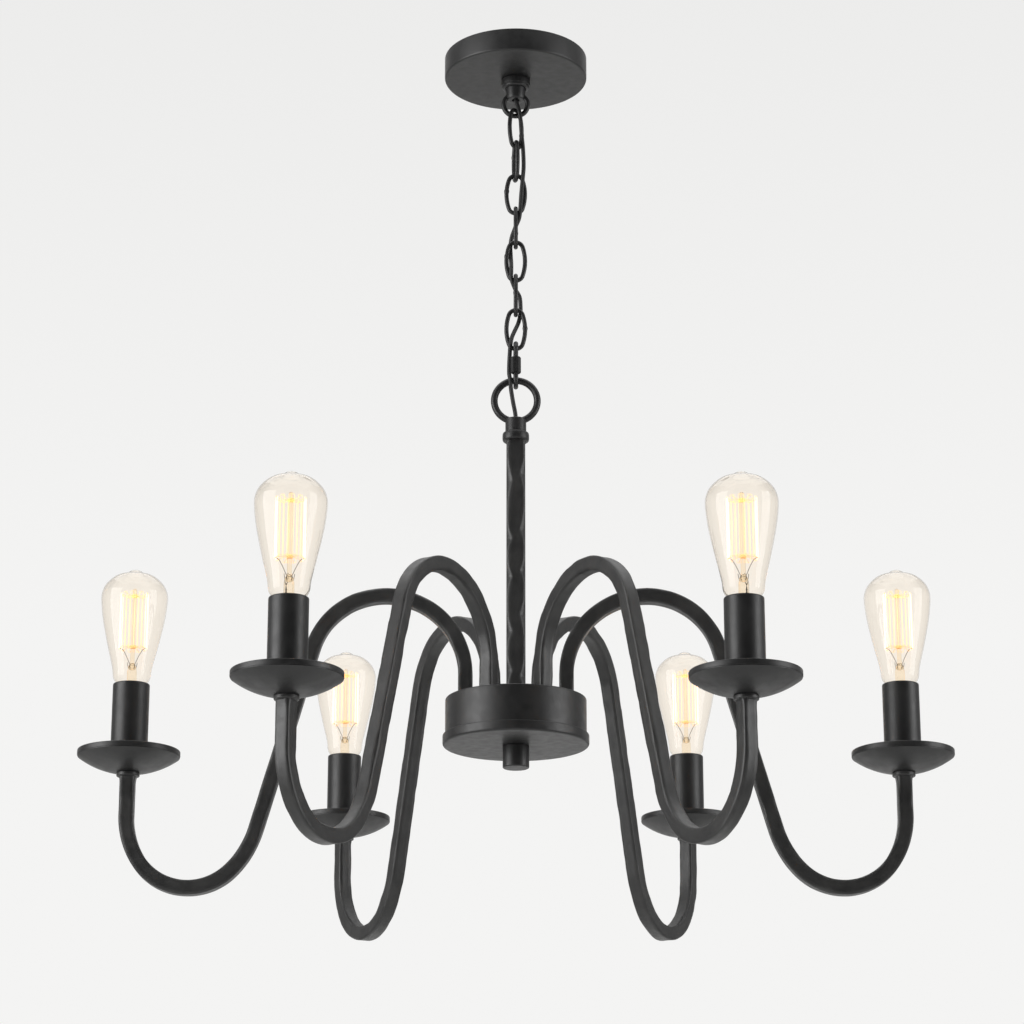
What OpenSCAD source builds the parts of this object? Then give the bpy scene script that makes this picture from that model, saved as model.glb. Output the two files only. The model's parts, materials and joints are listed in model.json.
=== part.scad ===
// Six-arm wrought iron chandelier on a chain. Millimetres, +Z up, origin on the ceiling above the stem.

/* [Overall] */
// Height from the ceiling to the underside of the hub cover
hub_drop = 650; // [640:1:720]
// Distance from the stem axis to each lamp axis
lamp_r = 334; // [330:0.5:340]
// Angle between a side arm and the front arm next to it
front_arm_angle = 58; // [52:0.5:64]
// Angle between a side arm and the rear arm next to it
rear_arm_angle = 60.5; // [52:0.5:64]

/* [Ceiling canopy] */
// Outer diameter of the canopy
canopy_d = 131; // [120:0.5:140]
// Height of the canopy
canopy_h = 21; // [18:0.5:24]
// Sheet thickness of the canopy
canopy_wall = 1.2; // [0.8:0.1:2]
// Diameter of the screw collar nut under the canopy
collar_nut_d = 26.5; // [24:0.5:30]
// Distance between the two outlet box screws
box_screw_pitch = 88.9; // [70:0.1:90]

/* [Chain] */
// Wire diameter of the chain links
link_wire = 4; // [3.5:0.1:4.2]
// Outer length of a link
link_l = 41.2; // [40:0.1:42]
// Outer width of a link
link_w = 20.8; // [20:0.1:22]
// Wire diameter of the quick link
quick_wire = 4.5; // [4:0.1:4.6]
// Outer length of the quick link
quick_l = 45; // [44:0.5:46]
// Diameter of the supply cord
cord_d = 3.8; // [3:0.1:4]

/* [Stem] */
// Outer diameter of the stem tube
stem_d = 16.8; // [15:0.1:17]
// Outer diameter of the ring on top of the stem
stem_ring_d = 44.7; // [42:0.1:46]
// Wire diameter of that ring
stem_ring_wire = 6.2; // [5.5:0.1:6.5]

/* [Hub] */
// Outer diameter of the hub body
hub_d = 122.6; // [116:0.5:124]
// Height of the hub from the cover's underside to the body's top
hub_h = 41; // [38:0.5:44]
// Height of the cover's lip
cover_lip_h = 9; // [6:0.5:12]
// Diameter of the finial that holds the cover
finial_d = 23; // [20:0.5:26]
// Length of the finial
finial_l = 19.5; // [16:0.5:24]

/* [Arms] */
// Side of the square arm bar
bar = 12.7; // [12:0.1:13.5]
// Bore of the arm bar for the wires
bar_bore = 7.5; // [6:0.1:8]
// Chamfer on the bar's edges
bar_chamfer = 1.1; // [0.5:0.1:2]

/* [Lamps] */
// Outer diameter of the bobeche
bobeche_d = 88.5; // [84:0.5:94]
// Outer diameter of the candle sleeve
sleeve_d = 31.9; // [31:0.1:33]
// Height of the sleeve's top above the hub cover's underside
sleeve_top = 54.7; // [50:0.1:60]
// Glass thickness of the bulb
glass_t = 0.8; // [0.6:0.1:1]

/* [Hidden] */
$fn = 64;

// clearances: between pieces that touch in one assembly, and between pieces that move past each other
seat_gap = 0.05;
move_gap = 0.3;

iron = "#262626";
steel = "#8c8c88";
brass_tone = "#b08d4a";

// thread sizes: lamp pipe outside and bore, and the holes that pass it
pipe_d = 9.6;
pipe_bore = 6.2;
pipe_hole = pipe_d + 2 * seat_gap;
cord_bore = 7;

// ---- ceiling fittings, from the ceiling down ----
crossbar_l = 104;
crossbar_w = 19;
crossbar_t = 2.4;
slot_l = 12;
slot_w = 4.6;
ground_screw_x = 22;
lock_nut_af = 15;
lock_nut_t = 3;
nipple_l = 26;

canopy_bottom = -canopy_h;
canopy_edge_r = 2.5;
canopy_hole_d = 20.5;
collar_nut_h = 9;
loop_neck_d = 18.5;
loop_neck_foot_d = 16.5;
loop_ring_d = 26.5;
loop_wire = 4.6;
loop_neck_top = -16;
loop_neck_end = -41;
loop_ring_z = -45.85;
loop_ring_bottom = loop_ring_z - loop_ring_d / 2;

// ---- chain: each ring hangs on the wire of the one above with move_gap between the wires ----
link_count = 7;
// plane of each link about the vertical, 0 is square to the view from the front
link_turn = [49, 102, 0, 90, 0, 90, 0];
link_end_r = 6.5;
// the link's sides are drawn down a little from its ends
side_step = 0.12;
end_overlap = 4;
// rise of each link above the wire it hangs on; the first two cross that wire askew and need more
link_play = [1.15, 1.05, move_gap, move_gap, move_gap, move_gap, move_gap];
function link_top(i) =
    i == 1 ? loop_ring_bottom + loop_wire + link_wire + link_play[0] :
    link_top(i - 1) - link_l + 2 * link_wire + link_play[i - 1];
last_link_bottom = link_top(link_count) - link_l;
quick_top = last_link_bottom + link_wire + move_gap + quick_wire;
quick_bottom = quick_top - quick_l;
quick_w = 19;
quick_nut_af = 8;
quick_nut_l = 15;
quick_nut_rise = 12.5;
quick_gap_rise = 15.5;
quick_gap = 6;
stem_ring_top = quick_bottom + quick_wire + move_gap + stem_ring_wire;
stem_ring_z = stem_ring_top - stem_ring_d / 2;

// ---- stem ----
hub_top = -hub_drop + hub_h;
stem_collar_top = -352;
bead_top = -366.3;
bead_bottom = -375.6;
stem_collar_d = 18.7;
bead_d = 23.8;
bead_edge_r = 2.2;
stem_bore = pipe_hole;
stem_tube_top = bead_top;

// ---- hub ----
cover_d = 127;
cover_t = 2;
cover_edge_r = 2.2;
hub_wall = 2;
hub_top_t = 3;
hub_edge_r = 1.2;
hub_foot = -hub_drop + cover_t + seat_gap;
hub_nut_af = 17;
hub_nut_t = 4;
hub_nipple_top = hub_top + 14;
hub_nipple_end = -hub_drop - 12;
window_w = 5;
window_top = hub_top - 8;
window_h = 19;
finial_bore_depth = 14;

// ---- arms: straight stretches are [length, 0], bends are [radius, turn] with outward turns positive ----
arm_moves = [[22, 0], [71, 88], [64.5, 76], [166.5, 0], [84, -28], [51, -103], [72, -33]];
bend_step = 7;
arm_angles = [0, rear_arm_angle, 180 - rear_arm_angle, 180, 180 + front_arm_angle, -front_arm_angle];
arm_stud_l = 9;
arm_nut_af = 14;
arm_nut_t = 4;
wire_d = 2.6;
wire_sides = 6;
wire_drop = 12;
wire_bend_r = 6;
wire_run = 4;
wire_cap_d = 6.5;
wire_cap_l = 11;

// ---- lamps ----
bobeche_z = -hub_drop - 23.5;
flare_d = 20;
flare_rim = 3;
flare_l = 12;
flare_bore_depth = 13;
flare_overlap = 1.5;
bowl_h = 14;
rim_h = 5;
dish_t = 1.6;
dish_flat_r = 10;
bobeche_r = bobeche_d / 2;
bowl_centre = (bobeche_r * bobeche_r - dish_flat_r * dish_flat_r + bowl_h * bowl_h) / (2 * bowl_h);
bowl_r = norm([dish_flat_r, bowl_centre]);
sleeve_wall = 1.2;
sleeve_edge_r = 1.5;
sleeve_top_z = -hub_drop + sleeve_top;
sleeve_foot_z = bobeche_z + bowl_centre - sqrt(pow(bowl_r - dish_t, 2) - pow(sleeve_d / 2, 2)) + seat_gap;
socket_r = 14.1;
socket_bore_r = 13.55;
socket_foot_z = -hub_drop - 4;
socket_top_z = -hub_drop + 44;
socket_floor = 6;
socket_nipple_end = bobeche_z - flare_bore_depth + 1;

// ---- bulb, heights measured from the sleeve's top ----
cap_r = 13.2;
cap_top = -8.7;
cap_shell_l = 19;
cap_l = 27;
neck_r = 12.6;
cap_bore_depth = 12;
mount_stem_r = 4.3;
mount_rod_r = 2;
stem_foot_r = neck_r - glass_t - seat_gap;
// outline of the glass from the neck to the top of the dome: [radius, height]
glass_outline = [
    [neck_r, -13], [neck_r, -5], [13.2, 0.5], [15, 3.2], [16.3, 6.3], [17.3, 14.3], [19.1, 22.3], [21, 29.8],
    [24.4, 44.8], [27.3, 59.8], [29, 75.3], [28.2, 83], [25, 89.5], [18, 96], [10.5, 98.8],
    [7.2, 99.6], [6, 101], [3.6, 102.5], [0, 102.9]];
filament_turns = 8;
filament_foot = 33.3;
filament_head = 84.8;
filament_r = 12.5;
filament_d = 0.8;
support_d = 0.6;

// ---- supply cord: through the canopy loop, woven down the chain and into the stem ----
cord_route = [
    [0, 0, -1.5], [0, 0, -12], [0, 0, -24], [0, 0, -36], [0.2, -0.4, -41], [2.4, -3.4, -50],
    [3.6, -5, -56], [4.6, -4.6, -64], [5.4, -2.2, -76], [6.6, 0, -88], [7.2, 0.4, -100], [7.2, -2, -110],
    [6.6, -4.6, -119], [5.8, -4.8, -128], [4.8, -4.4, -140], [4.2, -4.3, -151], [3, -3.2, -160],
    [-0.4, -1.2, -168], [-3.6, 2.6, -176], [-4.8, 4.5, -184], [-4.6, 3.4, -193], [-4.1, -0.8, -203],
    [-4.1, -4.3, -212], [-4, -4.5, -219], [-0.6, -1.6, -228], [3.4, 0.4, -235], [4.3, 2.4, -243],
    [4.2, 4.4, -250], [2.4, 3, -259], [-0.6, 0.2, -267], [-3.4, -3, -275], [-4.7, -4.3, -282],
    [-5.4, -3.4, -291], [-5.9, -2.2, -301], [-5.9, -3.1, -310], [-5, -5.4, -317], [-4.2, -4.8, -326],
    [-2.4, -2.8, -337], [-0.6, -0.8, -346], [0, 0, -353], [0, 0, -364]];
// the cord leaves the stem through the nipple's window in one bend
cord_bend_r = 16;
cord_bend_z = hub_top - 9;
cord_tail_r = 21;
cord_sides = 8;

// points and headings [x, z, heading] along the moves; the heading is the lean from upright
function bend_point(x, z, r, s, a) = [x - s * r * cos(a), z + s * r * sin(a), a];
function walk(moves, x, z, a, i = 0) =
    i == len(moves) ? [[x, z, a]] :
    moves[i][1] == 0 ?
        concat([[x, z, a]], walk(moves, x + moves[i][0] * sin(a), z + moves[i][0] * cos(a), a, i + 1)) :
    let (
        r = moves[i][0], turn = moves[i][1], s = sign(turn), n = ceil(abs(turn) / bend_step),
        cx = x + s * r * cos(a), cz = z - s * r * sin(a), end = bend_point(cx, cz, r, s, a + turn))
    concat(
        [for (k = [0:n - 1]) bend_point(cx, cz, r, s, a + turn * k / n)],
        walk(moves, end[0], end[1], end[2], i + 1));

arm_line = walk(arm_moves, 0, 0, 0);
arm_end = arm_line[len(arm_line) - 1];
arm_foot_r = lamp_r - arm_end[0];
arm_last = bobeche_z - flare_l + flare_overlap - hub_top - arm_end[1];

function unit(v) = v / norm(v);
function at(p, i) = p[min(max(i, 0), len(p) - 1)];
// a smooth curve through the points, with steps stretches between each two
function spline(p, steps) = [
    for (i = [0:len(p) - 2], k = [0:steps - 1])
        let (a = at(p, i - 1), b = p[i], c = p[i + 1], d = at(p, i + 2), t = k / steps)
        b + t / 2 * ((c - a) + t * ((2 * a - 5 * b + 4 * c - d) + t * (3 * b - a - 3 * c + d))),
    p[len(p) - 1]];
function heading(p, i) = unit(at(p, i + 1) - at(p, i - 1));
function tube_ring(p, i, r, sides) =
    let (t = heading(p, i), side = unit(cross(t, [0, 1, 0])), up = cross(side, t))
    [for (k = [0:sides - 1]) p[i] + r * (cos(360 * k / sides) * side + sin(360 * k / sides) * up)];
// a flat outline moved inwards by t: the normal at each point turns with the curve
function inset(p, t) = [
    for (i = [0:len(p) - 1])
        let (h = heading(p, i)) [max(p[i][0] - t * h[1], 0), p[i][1] + t * h[0]]];

// one closed tube of radius r along the points p
module tube(p, r, sides) {
    n = len(p);
    polyhedron(
        points = [for (i = [0:n - 1]) each tube_ring(p, i, r, sides)],
        faces = concat(
            [[for (k = [0:sides - 1]) k]],
            [for (i = [0:n - 2], k = [0:sides - 1])
                [i * sides + (k + 1) % sides, i * sides + k, (i + 1) * sides + k,
                 (i + 1) * sides + (k + 1) % sides]],
            [[for (k = [sides - 1:-1:0]) (n - 1) * sides + k]]));
}

// a hollow bar along the points and headings of a line: outer and inner are its flat outlines, equally long
module hollow_bar(line, outer, inner) {
    n = len(line);
    m = len(outer);
    polyhedron(
        points = [for (f = line, p = concat(outer, inner)) [f[0] + p[0] * cos(f[2]), p[1], f[1] - p[0] * sin(f[2])]],
        faces = concat(
            [for (i = [0:n - 2], k = [0:m - 1]) let (a = 2 * m * i, b = a + 2 * m, c = (k + 1) % m)
                [a + k, b + k, b + c, a + c]],
            [for (i = [0:n - 2], k = [0:m - 1]) let (a = 2 * m * i + m, b = a + 2 * m, c = (k + 1) % m)
                [a + k, a + c, b + c, b + k]],
            [for (k = [0:m - 1]) let (c = (k + 1) % m) [k, c, m + c, m + k]],
            [for (k = [0:m - 1]) let (a = 2 * m * (n - 1), c = (k + 1) % m) [a + k, a + m + k, a + m + c, a + c]]));
}

module at_arm(i) {
    rotate([0, 0, arm_angles[i - 1]]) children();
}

module at_lamp(i) {
    at_arm(i) translate([lamp_r, 0, 0]) children();
}

module hex_nut(af, h, hole_d) {
    difference() {
        cylinder(d = af / cos(30), h = h, $fn = 6);
        translate([0, 0, -1]) cylinder(d = hole_d, h = h + 2);
    }
}

module pipe(outer_d, inner_d, h) {
    difference() {
        cylinder(d = outer_d, h = h);
        translate([0, 0, -1]) cylinder(d = inner_d, h = h + 2);
    }
}

module wire_ring(outer_d, wire) {
    rotate([90, 0, 0]) rotate_extrude() translate([(outer_d - wire) / 2, 0]) circle(d = wire, $fn = 32);
}

// half profile of a disc with rounded lower edge: [0, r] wide and [0, h] high
module rounded_foot(r, h, edge) {
    union() {
        translate([0, edge]) square([r, h - edge]);
        square([r - edge, edge + 0.001]);
        translate([r - edge, edge]) intersection() {
            circle(r = edge);
            translate([0, -edge]) square([edge, edge + 0.001]);
        }
    }
}

// ---- ceiling fittings ----

module crossbar() {
    color(steel) translate([0, 0, -crossbar_t]) difference() {
        translate([-crossbar_l / 2, -crossbar_w / 2, 0]) cube([crossbar_l, crossbar_w, crossbar_t]);
        translate([0, 0, -1]) cylinder(d = pipe_hole, h = crossbar_t + 2);
        translate([ground_screw_x, 0, -1]) cylinder(d = 4.2, h = crossbar_t + 2);
        for (s = [-1, 1])
            translate([s * box_screw_pitch / 2, 0, -1]) linear_extrude(height = crossbar_t + 2) box_slot();
    }
}

module box_slot() {
    union() {
        square([slot_l - slot_w, slot_w], center = true);
        for (s = [-1, 1])
            translate([s * (slot_l - slot_w) / 2, 0]) circle(d = slot_w);
    }
}

module ground_screw() {
    color("#3c7a45") translate([ground_screw_x, 0, 0]) difference() {
        union() {
            translate([0, 0, -crossbar_t - 2.8 - seat_gap]) cylinder(d = 9, h = 2.8, $fn = 6);
            translate([0, 0, -crossbar_t - 1]) cylinder(d = 4, h = crossbar_t + 0.6);
        }
        translate([-0.6, -5, -crossbar_t - 3.5]) cube([1.2, 10, 1.6]);
    }
}

module threaded_nipple() {
    color(steel) translate([0, 0, -nipple_l - 0.4]) pipe(pipe_d, pipe_bore, nipple_l);
}

module nipple_lock_nut() {
    color(steel) translate([0, 0, -crossbar_t - lock_nut_t - seat_gap]) hex_nut(lock_nut_af, lock_nut_t, pipe_hole);
}

module canopy() {
    color(iron) translate([0, 0, canopy_bottom]) rotate_extrude() difference() {
        rounded_foot(canopy_d / 2, canopy_h, canopy_edge_r);
        translate([0, canopy_wall]) rounded_foot(canopy_d / 2 - canopy_wall, canopy_h, canopy_edge_r - canopy_wall);
        square([canopy_hole_d / 2, 3 * canopy_wall], center = false);
    }
}

module collar_nut() {
    hole_r = loop_neck_d / 2 + move_gap;
    color(iron) translate([0, 0, canopy_bottom - collar_nut_h - seat_gap]) rotate_extrude() difference() {
        union() {
            translate([0, 2.6]) square([collar_nut_d / 2, collar_nut_h - 2.6]);
            polygon([[0, 0], [11, 0], [12.2, 1], [12.2, 2.6], [0, 2.6]]);
        }
        translate([0, -1]) square([hole_r, collar_nut_h + 2]);
    }
}

module canopy_loop() {
    color(iron) difference() {
        union() {
            translate([0, 0, canopy_bottom - collar_nut_h])
                cylinder(d = loop_neck_d, h = loop_neck_top - canopy_bottom + collar_nut_h);
            translate([0, 0, loop_neck_end]) rotate_extrude() polygon([
                [0, 0], [loop_neck_foot_d / 2 - 1, 0], [loop_neck_foot_d / 2, 1],
                [loop_neck_d / 2, canopy_bottom - collar_nut_h - loop_neck_end],
                [0, canopy_bottom - collar_nut_h - loop_neck_end]]);
            translate([0, 0, loop_ring_z]) wire_ring(loop_ring_d, loop_wire);
        }
        translate([0, 0, loop_ring_z]) cylinder(d = cord_bore, h = 60);
        translate([0, 0, -nipple_l - 0.4 - 1]) cylinder(d = pipe_hole, h = 30);
    }
}

// ---- chain and cord ----

// an oval ring of round wire standing in the XZ plane, its centre at the origin
module oval_link(l, w, wire, end_r) {
    half_l = (l - wire) / 2 - end_r;
    half_w = (w - wire) / 2;
    side_r = (pow(half_l, 2) + pow(half_w, 2) - pow(end_r, 2)) / (2 * (half_w - end_r));
    side_a = atan(half_l / (side_r - half_w));
    rotate([90, 0, 0]) for (s = [0, 180]) rotate([0, 0, s]) {
        translate([half_w - side_r, 0, 0]) rotate([0, 0, -side_a])
            rotate_extrude(angle = 2 * side_a) translate([side_r, 0]) circle(d = wire - side_step, $fn = 32);
        translate([0, half_l, 0]) rotate([0, 0, side_a - end_overlap])
            rotate_extrude(angle = 180 - 2 * side_a + 2 * end_overlap) translate([end_r, 0])
                circle(d = wire, $fn = 32);
    }
}

module chain_link(i) {
    z = link_top(i) - link_l / 2;
    color(iron) translate([0, 0, z]) rotate([0, 0, link_turn[i - 1]])
        oval_link(link_l, link_w, link_wire, link_end_r);
}

// the quick link stands in the YZ plane with its gap and nut towards the front
module quick_link() {
    end_r = (quick_w - quick_wire) / 2;
    leg = quick_l - quick_wire - 2 * end_r;
    leg_foot = quick_bottom + quick_wire / 2 + end_r;
    color(iron) rotate([0, 0, 90]) {
        translate([end_r, 0, leg_foot]) cylinder(d = quick_wire, h = leg);
        translate([-end_r, 0, leg_foot]) cylinder(d = quick_wire, h = quick_bottom + quick_gap_rise - leg_foot);
        translate([-end_r, 0, quick_bottom + quick_gap_rise + quick_gap])
            cylinder(d = quick_wire, h = leg_foot + leg - quick_bottom - quick_gap_rise - quick_gap);
        translate([0, 0, leg_foot + leg]) rotate([90, 0, 0])
            rotate_extrude(angle = 180) translate([end_r, 0]) circle(d = quick_wire, $fn = 32);
        translate([0, 0, leg_foot]) rotate([90, 0, 0]) rotate([0, 0, 180])
            rotate_extrude(angle = 180) translate([end_r, 0]) circle(d = quick_wire, $fn = 32);
    }
}

module quick_link_nut() {
    color(iron) translate([0, -(quick_w - quick_wire) / 2, quick_bottom + quick_nut_rise])
        hex_nut(quick_nut_af, quick_nut_l, quick_wire + 2 * seat_gap);
}

function cord_path() = concat(
    spline(cord_route, 2),
    [for (z = [-384:-20:cord_bend_z + 8]) [0, 0, z]],
    [for (a = [0:11.25:90]) [cord_bend_r * (1 - cos(a)), 0, cord_bend_z - cord_bend_r * sin(a)]],
    [[cord_tail_r, 0, cord_bend_z - cord_bend_r]]);

module supply_cord() {
    color("#1c1c1c") tube(cord_path(), cord_d / 2, cord_sides);
}

// ---- stem ----

module stem_loop() {
    color(iron) difference() {
        union() {
            translate([0, 0, stem_ring_z]) wire_ring(stem_ring_d, stem_ring_wire);
            translate([0, 0, bead_top]) cylinder(d = stem_collar_d, h = stem_collar_top - bead_top);
            translate([0, 0, bead_bottom]) rotate_extrude() bead_profile();
        }
        translate([0, 0, bead_bottom - 1]) cylinder(d = stem_d + 2 * seat_gap, h = bead_top - bead_bottom + 1);
        translate([0, 0, bead_top - 1]) cylinder(d = cord_bore, h = stem_ring_z - bead_top);
    }
}

module bead_profile() {
    h = bead_top - bead_bottom;
    union() {
        square([bead_d / 2 - bead_edge_r, h]);
        translate([0, bead_edge_r]) square([bead_d / 2, h - 2 * bead_edge_r]);
        for (z = [bead_edge_r, h - bead_edge_r])
            translate([bead_d / 2 - bead_edge_r, z]) circle(r = bead_edge_r);
    }
}

module stem_tube() {
    color(iron) translate([0, 0, hub_top]) pipe(stem_d, stem_bore, stem_tube_top - hub_top);
}

// ---- hub ----

module hub_body() {
    h = hub_top - hub_foot;
    color(iron) difference() {
        translate([0, 0, hub_top]) mirror([0, 0, 1]) rotate_extrude() difference() {
            rounded_foot(hub_d / 2, h, hub_edge_r);
            translate([0, hub_top_t]) square([hub_d / 2 - hub_wall, h]);
        }
        translate([0, 0, hub_top - hub_top_t - 1]) cylinder(d = pipe_hole, h = hub_top_t + 2);
        for (i = [1:6])
            at_arm(i) translate([arm_foot_r, 0, hub_top - hub_top_t - 1]) cylinder(d = pipe_hole, h = hub_top_t + 2);
    }
}

module hub_nipple() {
    color(steel) difference() {
        translate([0, 0, hub_nipple_end]) pipe(pipe_d, pipe_bore, hub_nipple_top - hub_nipple_end);
        translate([0, -window_w / 2, window_top - window_h]) cube([pipe_d, window_w, window_h]);
    }
}

module hub_lock_nut() {
    color(steel) translate([0, 0, hub_top - hub_top_t - hub_nut_t - seat_gap])
        hex_nut(hub_nut_af, hub_nut_t, pipe_hole);
}

module hub_cover() {
    lip_in = hub_d / 2 + move_gap;
    color(iron) translate([0, 0, -hub_drop]) rotate_extrude() difference() {
        rounded_foot(cover_d / 2, cover_lip_h, cover_edge_r);
        translate([0, cover_t]) square([lip_in, cover_lip_h]);
        square([pipe_d / 2 + move_gap, cover_t * 2]);
    }
}

module hub_finial() {
    color(iron) difference() {
        translate([0, 0, -hub_drop - finial_l - seat_gap]) rotate_extrude() rounded_foot(finial_d / 2, finial_l, 0.8);
        translate([0, 0, -hub_drop - finial_bore_depth]) cylinder(r = pipe_d / 2 + move_gap, h = finial_bore_depth + 1);
    }
}

// ---- arms and their fixings ----

// outlines of the bar, the chamfered square first and then its bore with as many corners
function bar_outline() = let (c = bar_chamfer, h = bar / 2) [
    [h, h - c], [h - c, h], [c - h, h], [-h, h - c],
    [-h, c - h], [c - h, -h], [h - c, -h], [h, c - h]];
function bore_outline() = [for (k = [0:7]) bar_bore / 2 * [cos(45 * k + 22.5), sin(45 * k + 22.5)]];

module arm(i) {
    color(iron) at_arm(i) difference() {
        union() {
            translate([arm_foot_r, 0, hub_top])
                hollow_bar(walk(concat(arm_moves, [[arm_last, 0]]), 0, 0, 0), bar_outline(), bore_outline());
            translate([lamp_r, 0, bobeche_z]) flare();
            translate([arm_foot_r, 0, hub_top - arm_stud_l]) pipe(pipe_d, pipe_bore, arm_stud_l + flare_overlap);
        }
        translate([lamp_r, 0, bobeche_z - flare_bore_depth]) cylinder(d = pipe_hole, h = flare_bore_depth + 1);
    }
}

module flare() {
    rotate_extrude() polygon([
        [0, 0], [flare_d / 2, 0], [flare_d / 2, -flare_rim], [bar / 2 + 1.2, -flare_l + 1.5],
        [bar / 2 - 0.2, -flare_l], [0, -flare_l]]);
}

module arm_nuts() {
    color(steel) for (i = [1:6])
        at_arm(i) translate([arm_foot_r, 0, hub_top - hub_top_t - arm_nut_t - seat_gap])
            hex_nut(arm_nut_af, arm_nut_t, pipe_hole);
}

// each wire runs through its arm from the socket to the hub, then turns in towards the stem
function wire_path() = concat(
    [[arm_foot_r - wire_bend_r - wire_run, 0, hub_top - wire_drop - wire_bend_r]],
    [for (a = [0:30:90]) [arm_foot_r - wire_bend_r * (1 - sin(a)), 0, hub_top - wire_drop - wire_bend_r * cos(a)]],
    [for (p = walk(arm_moves, arm_foot_r, hub_top, 0)) [p[0], 0, p[1]]],
    [[lamp_r, 0, socket_foot_z + 2.9]]);

module arm_wires() {
    color("#7a5a3a") for (i = [1:6]) at_arm(i) tube(wire_path(), wire_d / 2, wire_sides);
}

// closed-end caps on the wire ends in the hub
module wire_caps() {
    x = arm_foot_r - wire_bend_r - wire_run - seat_gap;
    color("#d8d4c8") for (i = [1:6]) at_arm(i) translate([x, 0, hub_top - wire_drop - wire_bend_r])
        rotate([0, -90, 0]) cylinder(d1 = wire_cap_d, d2 = wire_cap_d - 1.5, h = wire_cap_l);
}

// ---- lamps ----

module bobeche(i) {
    color(iron) at_lamp(i) translate([0, 0, bobeche_z]) rotate_extrude() difference() {
        intersection() {
            translate([0, bowl_centre]) circle(r = bowl_r, $fn = 180);
            square([bobeche_r, bowl_h + rim_h]);
        }
        intersection() {
            translate([0, bowl_centre]) circle(r = bowl_r - dish_t, $fn = 180);
            translate([0, dish_t]) square([bobeche_r - dish_t, bowl_h + rim_h]);
        }
        square([pipe_hole / 2, 3 * dish_t]);
    }
}

module candle_sleeve(i) {
    h = sleeve_top_z - sleeve_foot_z;
    color(iron) at_lamp(i) translate([0, 0, sleeve_top_z]) mirror([0, 0, 1]) rotate_extrude() difference() {
        rounded_foot(sleeve_d / 2, h, sleeve_edge_r);
        translate([0, -1]) square([sleeve_d / 2 - sleeve_wall, h + 2]);
    }
}

module socket_nipples() {
    color(steel) for (i = [1:6]) at_lamp(i) translate([0, 0, socket_nipple_end])
        pipe(pipe_d, pipe_bore, socket_foot_z + 3 - socket_nipple_end);
}

module sockets() {
    color("#3a3836") for (i = [1:6]) at_lamp(i) difference() {
        translate([0, 0, socket_foot_z]) cylinder(r = socket_r, h = socket_top_z - socket_foot_z);
        translate([0, 0, socket_foot_z + socket_floor]) cylinder(r = socket_bore_r, h = 60);
        translate([0, 0, socket_foot_z - 1]) cylinder(d = pipe_hole, h = 4 + seat_gap);
    }
}

module bulb_glass(i) {
    outer = spline(glass_outline, 2);
    inner = inset(outer, glass_t);
    n = len(outer);
    color("#f2e3cf", 0.35) at_lamp(i) translate([0, 0, sleeve_top_z]) rotate_extrude()
        polygon(concat(outer, [for (k = [n - 1:-1:0]) [k == n - 1 ? 0 : inner[k][0], inner[k][1]]]));
}

// screw cap, glass stem and filament on its supports
module bulb_core(i) {
    at_lamp(i) translate([0, 0, sleeve_top_z]) {
        color(brass_tone) cap();
        color("#e9dccb", 0.5) mount_stem();
        color("#ffb648") filament();
    }
}

module cap() {
    skirt = cap_l - cap_shell_l;
    translate([0, 0, cap_top - cap_l]) rotate_extrude() difference() {
        polygon([
            [0, 0], [4.5, 0], [5, 1.5], [10.5, skirt], [cap_r, skirt + 1.5], [cap_r, cap_l], [0, cap_l]]);
        translate([0, cap_l - cap_bore_depth]) square([neck_r + seat_gap, cap_l]);
    }
}

module mount_stem() {
    rotate_extrude() polygon([
        [0, glass_outline[0][1]], [stem_foot_r, glass_outline[0][1]], [stem_foot_r, glass_outline[0][1] + 1],
        [mount_stem_r, -3], [mount_stem_r, 14], [mount_rod_r, 18],
        [mount_rod_r, filament_head + 1], [0, filament_head + 1]]);
}

// upright filament strands in a cage, held by a star of supports at either end
module filament() {
    for (k = [0:filament_turns - 1]) rotate([0, 0, 360 * k / filament_turns]) {
        translate([filament_r, 0, filament_foot]) cylinder(d = filament_d, h = filament_head - filament_foot, $fn = 16);
        for (z = [filament_foot + 1, filament_head - 1])
            translate([mount_rod_r + seat_gap, 0, z]) rotate([0, 90, 0])
                cylinder(d = support_d, h = filament_r - mount_rod_r - seat_gap, $fn = 16);
    }
}

crossbar();
ground_screw();
threaded_nipple();
nipple_lock_nut();
canopy();
collar_nut();
canopy_loop();
supply_cord();
for (i = [1:link_count]) chain_link(i);
quick_link();
quick_link_nut();
stem_loop();
stem_tube();
hub_body();
hub_nipple();
hub_lock_nut();
hub_cover();
hub_finial();
arm_nuts();
arm_wires();
wire_caps();
socket_nipples();
sockets();
for (i = [1:6]) arm(i);
for (i = [1:6]) bobeche(i);
for (i = [1:6]) candle_sleeve(i);
for (i = [1:6]) bulb_glass(i);
for (i = [1:6]) bulb_core(i);
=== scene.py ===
import json
import math

import bmesh
import bpy
from mathutils import Matrix, Vector, noise


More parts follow.
